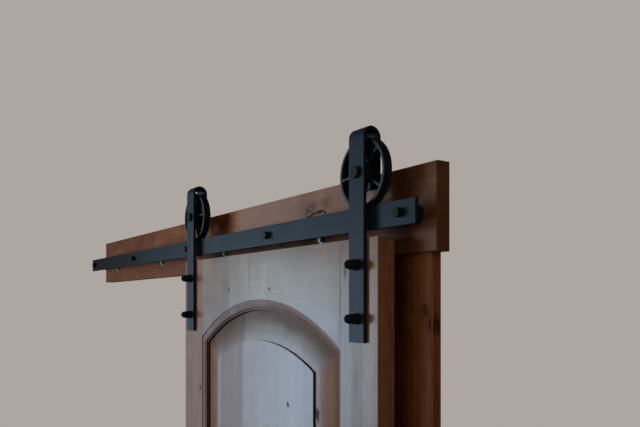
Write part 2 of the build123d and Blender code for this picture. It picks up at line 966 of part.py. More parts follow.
os.makedirs("parts", exist_ok=True)
save(header_board, "header_board")
save(header_screws, "header_screws")
save(rail, "rail")
save(rail_spacers, "rail_spacers")
save(rail_lag_bolts, "rail_lag_bolts")
save(guide_bracket, "guide_bracket")
save(guide_channel, "guide_channel")
save(guide_bolts, "guide_bolts")
save(guide_screws, "guide_screws")
save(top_rail, "top_rail")
save(lock_rail, "lock_rail")
save(bottom_rail, "bottom_rail")
save(upper_panel, "upper_panel")
save(lower_panel, "lower_panel")
save(rail_dowels, "rail_dowels")
save(pull_handle, "pull_handle")
save(pull_screws, "pull_screws")
save(door_bolts, "door_bolts")
save(back_washers, "back_washers")
save(front_washers, "front_washers")
save(acorn_nuts, "acorn_nuts")
save(axle_bolts, "axle_bolts")
save(axle_nuts, "axle_nuts")
save(axle_sleeves, "axle_sleeves")
for name, x in hanger_xs.items():
    save(casings[name], f"casing_{name}")
    save(stiles[name], f"stile_{name}")
    save(strap(x), f"strap_{name}")
    save(wheel(x, spoke_angles[name]), f"wheel_{name}")
    save(bearing_ring(x, axle_hole_radius, bearing_inner_land), f"bearing_inner_{name}")
    save(bearing_ring(x, bearing_outer_land, bearing_radius), f"bearing_outer_{name}")
    save(bearing_balls(x), f"bearing_balls_{name}")
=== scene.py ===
import math

import bpy
import numpy as np
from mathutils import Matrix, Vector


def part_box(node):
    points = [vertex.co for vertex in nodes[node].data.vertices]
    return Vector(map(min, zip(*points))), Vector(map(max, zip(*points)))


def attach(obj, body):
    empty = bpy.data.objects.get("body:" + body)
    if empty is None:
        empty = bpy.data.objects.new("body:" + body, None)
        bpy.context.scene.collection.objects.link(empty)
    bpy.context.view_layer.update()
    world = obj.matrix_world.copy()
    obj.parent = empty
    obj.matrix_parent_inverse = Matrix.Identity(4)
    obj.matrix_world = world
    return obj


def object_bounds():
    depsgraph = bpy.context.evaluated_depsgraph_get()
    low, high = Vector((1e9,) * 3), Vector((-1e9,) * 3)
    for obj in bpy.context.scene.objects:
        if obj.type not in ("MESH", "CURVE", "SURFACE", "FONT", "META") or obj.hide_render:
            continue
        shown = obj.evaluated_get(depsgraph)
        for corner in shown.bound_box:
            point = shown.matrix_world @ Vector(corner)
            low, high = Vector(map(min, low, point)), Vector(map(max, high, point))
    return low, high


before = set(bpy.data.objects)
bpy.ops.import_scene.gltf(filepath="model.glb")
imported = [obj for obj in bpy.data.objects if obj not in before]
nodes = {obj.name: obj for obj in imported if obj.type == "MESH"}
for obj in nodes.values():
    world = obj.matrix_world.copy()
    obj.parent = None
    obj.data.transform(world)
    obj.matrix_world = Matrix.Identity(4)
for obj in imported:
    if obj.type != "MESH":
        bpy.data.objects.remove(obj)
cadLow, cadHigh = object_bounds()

# A sliding door on its flat rail, in stained alder and sprayed black steel. Metres: +X runs along
# the rail, +Y into the wall and +Z up, and zero is where the middle rail bolt enters the wall.
scene = bpy.context.scene
print("frame loaded:", len(nodes), "nodes")

view = {
    "place": (1.5831, -0.7508, -0.1448),
    "heading": 55.234,                     # degrees to the left of straight at the wall
    "lens": 37.06,
    "rise": 0.1441,                        # the frame sits above the level line of sight
}
room = {
    "background": (0.42, 0.385, 0.355),    # what the camera and the reflections see
    "ambient": (0.125, 0.110, 0.095),      # soft light from all around
    "floor": (0.15, 0.145, 0.135),
    "floorFar": (0.01, 0.01, 0.01),
    "floorGlow": (0.30, 0.275, 0.255),     # keeps the floor pale, and meets the background far off
    "floorFade": (0.9, 2.4),               # distances over which its colour and its glow change
    "glowFade": (0.8, 2.6),
    "floorRoughness": 0.9,
    "floorHeight": cadLow[2] - 0.0005,
    "floorReach": 14.0,
}
window = {
    # a tall soft window on the left, dimmer and warmer at its near side and paler towards its top
    "x": -3.0,
    # near edge, far edge, radiance, tint
    "strips": {
        "Warm": (-1.20, -1.50, 1.75, (1.2, 1.0, 0.9)),
        "Near": (-1.50, -1.80, 5.2, (0.68, 1.0, 1.28)),
        "Inner": (-1.80, -2.05, 10.6, (0.68, 1.0, 1.31)),
        "Far": (-2.05, -2.75, 17.5, (0.66, 1.0, 1.32)),
        "Last": (-2.75, -3.30, 14.4, (0.68, 1.0, 1.28)),
    },
    # lowest, highest, share of the radiance, tint
    "rows": {
        "Low": (-1.40, -0.12, 1.0, (1.0, 1.0, 1.0)),
        "High": (-0.12, 0.24, 0.90, (1.12, 1.0, 0.84)),
    },
}
lamps = {
    # centre, point it faces, width, height, radiance, colour
    "farSoft": ((-3.0, -4.75, -0.55), (-2.0, -4.75, -0.55), 2.8, 2.2, 4.2, (1.15, 1.0, 0.90)),
    "glowSoft": ((-3.0, -2.5, 0.95), (-2.0, -2.5, 0.95), 2.2, 1.4, 3.8, (0.82, 1.0, 1.20)),
    "rightSoft": ((3.4, -0.9, 0.7), (0.6, -0.05, -0.5), 2.0, 2.4, 1.75, (1.0, 0.94, 0.86)),
    "backSoft": ((-0.6, 3.2, 0.6), (0.2, 0.0, -0.6), 3.0, 3.0, 3.2, (1.0, 0.97, 0.93)),
}
for row, (low, high, share, rowTint) in window["rows"].items():
    for strip, (near, far, radiance, tint) in window["strips"].items():
        place = np.array((window["x"], (near + far) / 2, (low + high) / 2))
        colour = tuple(np.multiply(tint, rowTint))
        lamps["window" + strip + row] = (
            place, place + (1, 0, 0), near - far, high - low, radiance * share, colour)


def aim(obj, place, target):
    # turns the object's -Z axis from its place to the target
    direction = np.subtract(target, place)
    obj.location = place
    pan = math.atan2(-direction[0], direction[1])
    tilt = math.atan2(direction[2], math.hypot(direction[0], direction[1]))
    obj.rotation_euler = (math.pi / 2 + tilt, 0, pan)


cameraData = bpy.data.cameras.new("photoView")
cameraData.lens = view["lens"]
cameraData.sensor_width = 36
cameraData.shift_y = view["rise"]
cameraData.clip_start = 0.05
camera = bpy.data.objects.new("photoView", cameraData)
camera.location = view["place"]
camera.rotation_euler = (math.pi / 2, 0, math.radians(view["heading"]))
scene.collection.objects.link(camera)
scene.camera = camera

for name, (place, target, wide, high, radiance, colour) in lamps.items():
    data = bpy.data.lights.new(name, "AREA")
    data.shape = "RECTANGLE"
    data.size, data.size_y = wide, high
    data.energy = radiance * math.pi * wide * high   # watts that give this radiance at its face
    data.color = colour
    lamp = bpy.data.objects.new(name, data)
    lamp.visible_camera = False
    aim(lamp, place, target)
    scene.collection.objects.link(lamp)

scene.view_settings.view_transform = "Standard"


def newNode(tree, kind, values=None, **settings):
    # one node, with its settings and the values or links of its inputs
    made = tree.nodes.new(kind)
    for key, value in settings.items():
        setattr(made, key, value)
    for key, value in (values or {}).items():
        socket = made.inputs[key]
        if isinstance(value, bpy.types.NodeSocket):
            tree.links.new(value, socket)
        elif isinstance(value, tuple) and len(value) == 3 and socket.type == "RGBA":
            socket.default_value = (*value, 1)
        else:
            socket.default_value = value
    return made


def mathNode(tree, operation, *values, clamp=False):
    return newNode(
        tree, "ShaderNodeMath", dict(enumerate(values)), operation=operation, use_clamp=clamp
    ).outputs[0]


world = bpy.data.worlds.new("paleRoom")
scene.world = world
world.use_nodes = True
worldTree = world.node_tree
worldTree.nodes.clear()
path = newNode(worldTree, "ShaderNodeLightPath").outputs
direct = mathNode(worldTree, "MAXIMUM", path["Is Camera Ray"], path["Is Glossy Ray"])
direct = mathNode(worldTree, "MAXIMUM", direct, path["Is Transmission Ray"])
worldMix = newNode(worldTree, "ShaderNodeMixShader", {
    0: direct,
    1: newNode(worldTree, "ShaderNodeBackground", {"Color": room["ambient"]}).outputs[0],
    2: newNode(worldTree, "ShaderNodeBackground", {"Color": room["background"]}).outputs[0],
})
newNode(worldTree, "ShaderNodeOutputWorld", {"Surface": worldMix.outputs[0]})
print("camera and light set")


def vectorNode(tree, operation, *values):
    return newNode(
        tree, "ShaderNodeVectorMath", dict(enumerate(values)), operation=operation
    ).outputs[0]


def dotNode(tree, first, second):
    return newNode(
        tree, "ShaderNodeVectorMath", {0: first, 1: second}, operation="DOT_PRODUCT"
    ).outputs["Value"]


def lengthNode(tree, vector):
    return newNode(
        tree, "ShaderNodeVectorMath", {0: vector}, operation="LENGTH"
    ).outputs["Value"]


def rangeNode(tree, value, low, high, newLow=0.0, newHigh=1.0, smooth=True):
    return newNode(
        tree,
        "ShaderNodeMapRange",
        {"Value": value, "From Min": low, "From Max": high, "To Min": newLow, "To Max": newHigh},
        interpolation_type="SMOOTHSTEP" if smooth else "LINEAR",
    ).outputs[0]


def noiseNode(tree, vector, scale, detail=3.0, rough=0.55, warp=0.0):
    return newNode(
        tree,
        "ShaderNodeTexNoise",
        {"Vector": vector, "Scale": scale, "Detail": detail, "Roughness": rough, "Distortion": warp},
    ).outputs["Fac"]


def stretched(tree, vector, along, across, detail=3.0, rough=0.55, warp=0.0):
    # noise drawn out along the board: so many grains to a metre along and across it
    return noiseNode(
        tree, vectorNode(tree, "MULTIPLY", vector, (along, across, across)), 1.0, detail, rough, warp
    )


def splitNode(tree, vector):
    return newNode(tree, "ShaderNodeSeparateXYZ", {"Vector": vector}).outputs


def joinNode(tree, x, y, z):
    return newNode(tree, "ShaderNodeCombineXYZ", {"X": x, "Y": y, "Z": z}).outputs[0]


def flatNode(tree, vector):
    # the vector without its Z, which on a board runs into the wood
    return vectorNode(tree, "MULTIPLY", vector, (1.0, 1.0, 0.0))


def mixColour(tree, factor, first, second, blend="MIX"):
    made = newNode(tree, "ShaderNodeMix", data_type="RGBA", blend_type=blend)
    for key, value in ((0, factor), (6, first), (7, second)):
        if isinstance(value, bpy.types.NodeSocket):
            tree.links.new(value, made.inputs[key])
        else:
            made.inputs[key].default_value = (*value, 1) if isinstance(value, tuple) else value
    return made.outputs[2]


def addScaled(tree, level, value, centre, weight):
    # level + (value - centre) * weight
    return mathNode(
        tree, "ADD", level, mathNode(tree, "MULTIPLY_ADD", value, weight, -centre * weight)
    )


def newGroup(name, inputs, outputs):
    # an empty shader group with named sockets
    group = bpy.data.node_groups.new(name, "ShaderNodeTree")
    for key, value in inputs.items():
        kind = "NodeSocketVector" if value is None else "NodeSocketFloat"
        socket = group.interface.new_socket(key, in_out="INPUT", socket_type=kind)
        if value is not None:
            socket.default_value = value
    for key in outputs:
        kind = "NodeSocketVector" if key == "Push" else "NodeSocketFloat"
        group.interface.new_socket(key, in_out="OUTPUT", socket_type=kind)
    return group, group.nodes.new("NodeGroupInput").outputs, group.nodes.new("NodeGroupOutput").inputs


def useGroup(tree, group, values):
    made = newNode(tree, "ShaderNodeGroup", node_tree=group)
    for key, value in values.items():
        if isinstance(value, bpy.types.NodeSocket):
            tree.links.new(value, made.inputs[key])
        else:
            made.inputs[key].default_value = value
    return made.outputs


figure = {
    # noise: grains to a metre along and across the board, detail, roughness, warp
    "bend": (1.4, 7.0, 2.0),
    "ripple": (9.0, 30.0, 2.0),
    "streak": (1.5, 55.0, 4.0, 0.6),
    "fibre": (20.0, 330.0, 4.0, 0.65),
    "blotch": (3.2, 10.0, 3.0, 0.5, 0.6),
    "mottle": (22.0, 60.0, 3.0, 0.6, 0.4),
    "curl": (20.0, 4.0, 2.0, 0.5, 0.5),
    "fleck": (60.0, 1500.0, 1.0),
    "bendReach": 0.075,
    "rippleReach": 0.008,
    "ringPitch": 0.009,
    "pithSway": (0.05, 0.02),              # how far the seed moves the pith line, and its offset
    "pithRise": (0.045, 0.075),            # its slope along the board, and its depth in it
    "ringRise": 2.4,                       # the power of a ring's slow rise
    "ringFall": 0.90,                      # the share of a ring where its quick fall begins
    "seedShift": (3.7, 1.3, 0.71),
    "blotchRange": (0.32, 0.68),
    "fleckRange": (0.62, 0.74),
}


def buildGrainGroup():
    # Alder figure for a vector whose X runs along the board, Y across it and Z into it.
    # Rings: the distance from a pith line that isn't quite parallel to the board, bent by slow
    # noise and taken ring by ring, each with a slow rise and a quick fall. Streak and Fibre: noise
    # drawn out along the board, coarse and fine. Blotch and Mottle: stain that soaks in unevenly,
    # in large and small patches. Curl: soft bands across the board. Fleck: short dark strokes.
    group, given, out = newGroup(
        "alderGrain",
        {"Vector": None, "Seed": 0.0, "Ring Pitch": figure["ringPitch"]},
        ("Rings", "Streak", "Fibre", "Blotch", "Mottle", "Curl", "Fleck"),
    )
    seed = given["Seed"]
    shift = joinNode(group, *(mathNode(group, "MULTIPLY", seed, step) for step in figure["seedShift"]))
    placed = vectorNode(group, "ADD", given["Vector"], shift)
    x, y, z = splitNode(group, given["Vector"])
    bend, ripple = (
        mathNode(group, "MULTIPLY_ADD", stretched(group, placed, *figure[name]), reach, -reach / 2)
        for name, reach in (("bend", figure["bendReach"]), ("ripple", figure["rippleReach"]))
    )
    wander = mathNode(group, "MULTIPLY_ADD", mathNode(group, "SINE", seed), *figure["pithSway"])
    across = mathNode(group, "ADD", mathNode(group, "ADD", y, wander), bend)
    depth = mathNode(group, "ADD", z, mathNode(group, "MULTIPLY_ADD", x, *figure["pithRise"]))
    reach = mathNode(group, "ADD", lengthNode(group, joinNode(group, 0.0, across, depth)), ripple)
    turn = mathNode(group, "FRACT", mathNode(group, "DIVIDE", reach, given["Ring Pitch"]))
    late = mathNode(group, "MULTIPLY", mathNode(group, "POWER", turn, figure["ringRise"]),
                    rangeNode(group, turn, figure["ringFall"], 1.0, 1.0, 0.0))
    group.links.new(late, out["Rings"])
    for effect in ("Streak", "Fibre", "Mottle", "Curl"):
        group.links.new(stretched(group, placed, *figure[effect.lower()]), out[effect])
    for effect in ("Blotch", "Fleck"):
        name = effect.lower()
        noise = stretched(group, placed, *figure[name])
        group.links.new(rangeNode(group, noise, *figure[name + "Range"]), out[effect])
    return group


knotForm = {
    "ragged": (120.0, 3.0, 0.6),           # noise: scale, detail, roughness
    "raggedWeight": 0.9,
    "core": (0.75, 1.15),                  # the shares between which the core fades
    "halo": (0.9, 3.0),
    "waves": (15.0, 0.25, 0.75),           # waves in the core: rate, height, middle
    "ringSteep": 4.0,
    "bell": -0.30,
    "squeeze": -0.8,
}


def buildKnotGroup():
    # A knot. Share is the distance from its centre over its reach, made ragged by noise. Core is
    # dark inside 1, Ring is the dark bark round it, and Halo the stained wood about it. Push
    # squeezes the grain's across distance by a bell curve of Share, so the grain flows round it.
    group, given, out = newGroup(
        "alderKnot", {"Vector": None, "Centre": None, "Reach": None}, ("Core", "Ring", "Halo", "Push")
    )
    away = flatNode(group, vectorNode(group, "SUBTRACT", given["Vector"], given["Centre"]))
    share = lengthNode(group, vectorNode(group, "DIVIDE", away, given["Reach"]))
    ragged = noiseNode(group, vectorNode(group, "ADD", away, given["Centre"]), *knotForm["ragged"])
    share = addScaled(group, share, ragged, 0.5, knotForm["raggedWeight"])
    rate, height, middle = knotForm["waves"]
    waves = mathNode(group, "SINE", mathNode(group, "MULTIPLY", share, rate))
    waves = mathNode(group, "MULTIPLY_ADD", waves, height, middle)
    core = rangeNode(group, share, *knotForm["core"], 1.0, 0.0)
    group.links.new(mathNode(group, "MULTIPLY", core, waves), out["Core"])
    off = mathNode(group, "ABSOLUTE", mathNode(group, "SUBTRACT", share, 1.0))
    off = mathNode(group, "MULTIPLY", off, knotForm["ringSteep"])
    group.links.new(mathNode(group, "SUBTRACT", 1.0, off, clamp=True), out["Ring"])
    group.links.new(rangeNode(group, share, *knotForm["halo"], 1.0, 0.0), out["Halo"])
    square = mathNode(group, "MULTIPLY", share, share)
    bell = mathNode(group, "EXPONENT", mathNode(group, "MULTIPLY", square, knotForm["bell"]))
    squeeze = mathNode(group, "MULTIPLY", bell, knotForm["squeeze"])
    push = mathNode(group, "MULTIPLY", splitNode(group, away)[1], squeeze)
    group.links.new(joinNode(group, 0.0, push, 0.0), out["Push"])
    return group


patchNoise = (1.6, 3.0, 0.6)               # scale, detail, roughness


def buildPatchGroup():
    # A soft patch: the distance from its centre over its reach, made ragged, from full at Inner to
    # nothing at 1.
    group, given, out = newGroup(
        "softPatch",
        {"Vector": None, "Centre": None, "Reach": None, "Inner": 0.1, "Ragged": 0.6},
        ("Mask",),
    )
    away = flatNode(group, vectorNode(group, "SUBTRACT", given["Vector"], given["Centre"]))
    scaled = vectorNode(group, "DIVIDE", away, given["Reach"])
    rough = noiseNode(group, vectorNode(group, "ADD", scaled, given["Centre"]), *patchNoise)
    ragged = mathNode(group, "MULTIPLY", mathNode(group, "SUBTRACT", rough, 0.5), given["Ragged"])
    share = mathNode(group, "ADD", lengthNode(group, scaled), ragged)
    group.links.new(rangeNode(group, share, given["Inner"], 1.0, 1.0, 0.0), out["Mask"])
    return group


crackForm = {
    "noise": (70.0, 3.0, 0.5),             # scale, detail, roughness
    "bend": 0.006,
    "endShare": 0.05,                      # the width that is left at the very ends
    "edge": (0.5, 1.3),                    # the shares of the width between which it fades
}


def buildCrackGroup():
    # A hair crack: the distance from a straight line between two points, bent by noise, against a
    # width that thins out at both ends: 4 part (1 - part), where part is the way along the line.
    group, given, out = newGroup(
        "hairCrack", {"Vector": None, "Start": None, "End": None, "Width": 0.001}, ("Mask",)
    )
    flat = flatNode(group, given["Vector"])
    bend = crackForm["bend"]
    bent = mathNode(group, "MULTIPLY_ADD", noiseNode(group, flat, *crackForm["noise"]), bend, -bend / 2)
    flat = vectorNode(group, "ADD", flat, joinNode(group, 0.0, bent, 0.0))
    away = vectorNode(group, "SUBTRACT", flat, given["Start"])
    line = vectorNode(group, "SUBTRACT", given["End"], given["Start"])
    part = mathNode(group, "DIVIDE", dotNode(group, away, line), dotNode(group, line, line), clamp=True)
    nearest = newNode(
        group, "ShaderNodeVectorMath", {0: line, "Scale": part}, operation="SCALE").outputs[0]
    gap = lengthNode(group, vectorNode(group, "SUBTRACT", away, nearest))
    taper = mathNode(group, "MULTIPLY", part, mathNode(group, "SUBTRACT", 1.0, part))
    taper = mathNode(group, "MULTIPLY_ADD", taper, 4.0, crackForm["endShare"])
    wide = mathNode(group, "MULTIPLY", given["Width"], taper)
    share = mathNode(group, "DIVIDE", gap, wide)
    group.links.new(rangeNode(group, share, *crackForm["edge"], 1.0, 0.0), out["Mask"])
    return group


sprayForm = {
    # noise: scale, detail, roughness
    "gloss": (16.0, 4.0, 0.6),
    "specks": (480.0, 2.0, 0.6),
    "patches": (11.0, 2.0, 0.5),
    "peelDetail": 2.0,
    "rub": (30.0, 300.0, 3.0, 0.7),        # drawn out: along, across, detail, roughness
    "glossRange": (0.3, 0.7),
    "speckRange": (0.62, 0.74),
    "patchRange": (0.45, 0.7),
    "rubRange": (0.60, 0.70),
}


def buildSprayGroup():
    # Sprayed finish on steel: a fine orange peel, a slow change of gloss, specks of dust and faint
    # rub marks.
    group, given, out = newGroup("sprayedCoat", {"Vector": None, "Grain": 900.0},
                                 ("Peel", "Gloss", "Dust", "Rub"))
    vector = given["Vector"]
    peel = newNode(group, "ShaderNodeTexNoise", {
        "Vector": vector, "Scale": given["Grain"], "Detail": sprayForm["peelDetail"]})
    group.links.new(peel.outputs["Fac"], out["Peel"])
    gloss = noiseNode(group, vector, *sprayForm["gloss"])
    group.links.new(rangeNode(group, gloss, *sprayForm["glossRange"]), out["Gloss"])
    specks = rangeNode(group, noiseNode(group, vector, *sprayForm["specks"]), *sprayForm["speckRange"])
    patchy = rangeNode(group, noiseNode(group, vector, *sprayForm["patches"]), *sprayForm["patchRange"])
    group.links.new(mathNode(group, "MULTIPLY", specks, patchy), out["Dust"])
    rub = rangeNode(group, stretched(group, vector, *sprayForm["rub"]), *sprayForm["rubRange"])
    group.links.new(mathNode(group, "MULTIPLY", rub, patchy), out["Rub"])
    return group


fullFacing = (0.5, 0.85)                   # how straight a surface faces, from thin finish to thick


def buildFaceGroup():
    # How much a surface faces straight out of the part's front or back, from its own normal: the
    # finish lies thick there and thin on the edges.
    group, given, out = newGroup("finishBuild", {"Normal": None, "Edge": 0.12}, ("Mask",))
    facing = mathNode(group, "ABSOLUTE", splitNode(group, given["Normal"])[1])
    group.links.new(rangeNode(group, facing, *fullFacing, given["Edge"], 1.0), out["Mask"])
    return group


grainGroup = buildGrainGroup()
knotGroup = buildKnotGroup()
patchGroup = buildPatchGroup()
crackGroup = buildCrackGroup()
sprayGroup = buildSprayGroup()
faceGroup = buildFaceGroup()
print("shader groups built")


def newMaterial(name):
    material = bpy.data.materials.new(name)
    material.use_nodes = True
    tree = material.node_tree
    tree.nodes.clear()
    shader = tree.nodes.new("ShaderNodeBsdfPrincipled")
    out = tree.nodes.new("ShaderNodeOutputMaterial")
    tree.links.new(shader.outputs[0], out.inputs[0])
    place = newNode(tree, "ShaderNodeTexCoord").outputs
    return material, tree, shader, place


def toneRamp(tree, value, stops, soft):
    # a tone that changes at set places: stops are (from here on, tone), first and last are the ends
    low, high = stops[0][0], stops[-1][0]
    ramp = newNode(tree, "ShaderNodeValToRGB", {"Fac": rangeNode(tree, value, low, high, smooth=False)})
    marks = []
    for i, (place, tone) in enumerate(stops[:-1]):
        share = (place - low) / (high - low)
        if i == 0:
            marks.append((0.0, tone))
        else:
            half = soft / (high - low) / 2
            marks += [(share - half, stops[i - 1][1]), (share + half, tone)]
    elements = ramp.color_ramp.elements
    while len(elements) < len(marks):
        elements.new(0.5)
    for element, (share, tone) in zip(elements, marks):
        element.position = share
    for element, (share, tone) in zip(elements, marks):
        element.color = (tone, tone, tone, 1)
    return ramp.outputs[0]


# The leaf's own places, read from the frame
leftStile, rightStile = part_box("stile_left"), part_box("stile_right")
leaf = {
    "middle": (leftStile[0].x + rightStile[1].x) / 2,
    "depth": (leftStile[0].y + leftStile[1].y) / 2,
    "half": (leftStile[1].y - leftStile[0].y) / 2,
    "innerHalf": 0.33,                     # the moulded edges lie nearer the middle than this
    "innerTop": leftStile[1].z - 0.045,
    "innerLow": leftStile[0].z + 0.06,
}

alder = {
    "dark": (0.0385, 0.0120, 0.0050),
    "middle": (0.120, 0.0448, 0.0196),
    "light": (0.240, 0.1080, 0.0545),
    "glazeAndShade": (0.012, 0.0046, 0.0024),      # dark stain left in the corners of the mouldings, and painted shade in their recesses
    "wornAndHighlit": (0.216, 0.108, 0.062),         # thin stain along the edges, and a highlight painted on them
    "knotCore": (0.011, 0.0050, 0.0029),
    "warmStainAndLight": (1.12, 0.80, 0.40),            # what the colour is multiplied by where the stain is warmest, and where warm light is painted
    # effects of the grain on the tone: middle value, weight, the board's own factor, its usual value
    "toneWeights": {
        "Blotch": (0.5, 0.16, "blotch", 1.0),
        "Mottle": (0.5, 0.45, "streak", 1.0),
        "Streak": (0.5, 0.40, "streak", 1.0),
        "Fibre": (0.5, 0.38, None, 1.0),
        "Curl": (0.5, 0.35, "curl", 0.3),
        "Rings": (0.2, -1.0, "rings", 0.13),
    },
    "sheenWeights": {
        "Fibre": (0.5, 0.15, None, 1.0),
        "Streak": (0.5, 0.12, None, 1.0),
        "Curl": (0.5, 0.35, "curl", 0.3),
    },
    "haloTone": -0.20,
    "fleckShare": 0.30,
    "markShare": 0.92,                     # how much a knot, crack or hole covers
    "coreShare": 0.75,
    "hole": {"Inner": 0.6, "Ragged": 0.2},
    "toneSheen": 2.2,                      # how much the sheen follows the tone, and a patch
    "patchSheen": 1.6,
    "sheenSoft": 0.30,                     # metres over which the sheen and the warmth change
    "warmSoft": 0.25,
    "jointSoft": 0.002,                    # bands with softer borders than this are glued staves
    "staveSeed": 41.0,
    "uneven": (14.0, 14.0, 2.0),           # noise that bends the border of a soft band
    "unevenShare": 1.2,
    "endFacing": (0.6, 0.9),
    "endShare": 0.60,
    "frontFacing": (-0.5, 0.0),
    "arrisReach": (0.0003, 0.0032),
    "arrisRagged": 0.004,
    "arris": 0.2,
    "fibreRange": (0.2, 0.8),              # fibre's values that give the two roughnesses
    "roughness": (0.49, 0.63),
    "specular": 0.02,
    "coat": 0.222,
    "coatRoughness": 0.19,
    "coatEdge": 0.12,
    "fibreHeight": 0.00006,
    "fleckDepth": -0.6,
    "markDepth": -2.0,
    "bump": 0.7,
}
moulding = {
    "wallFacing": (0.4, 0.7),              # a wall faces the front less than this
    "slopeDepth": (0.0004, 0.0095),        # metres below the leaf's face
    "slopeLeast": 0.22,
    "slopeFacing": (0.02, 0.07),
    "thinDepth": (0.0004, 0.0014),         # where the varnish starts to lie thin
    "stainAndShadeShare": 0.9,
    "dullShare": 0.55,
}
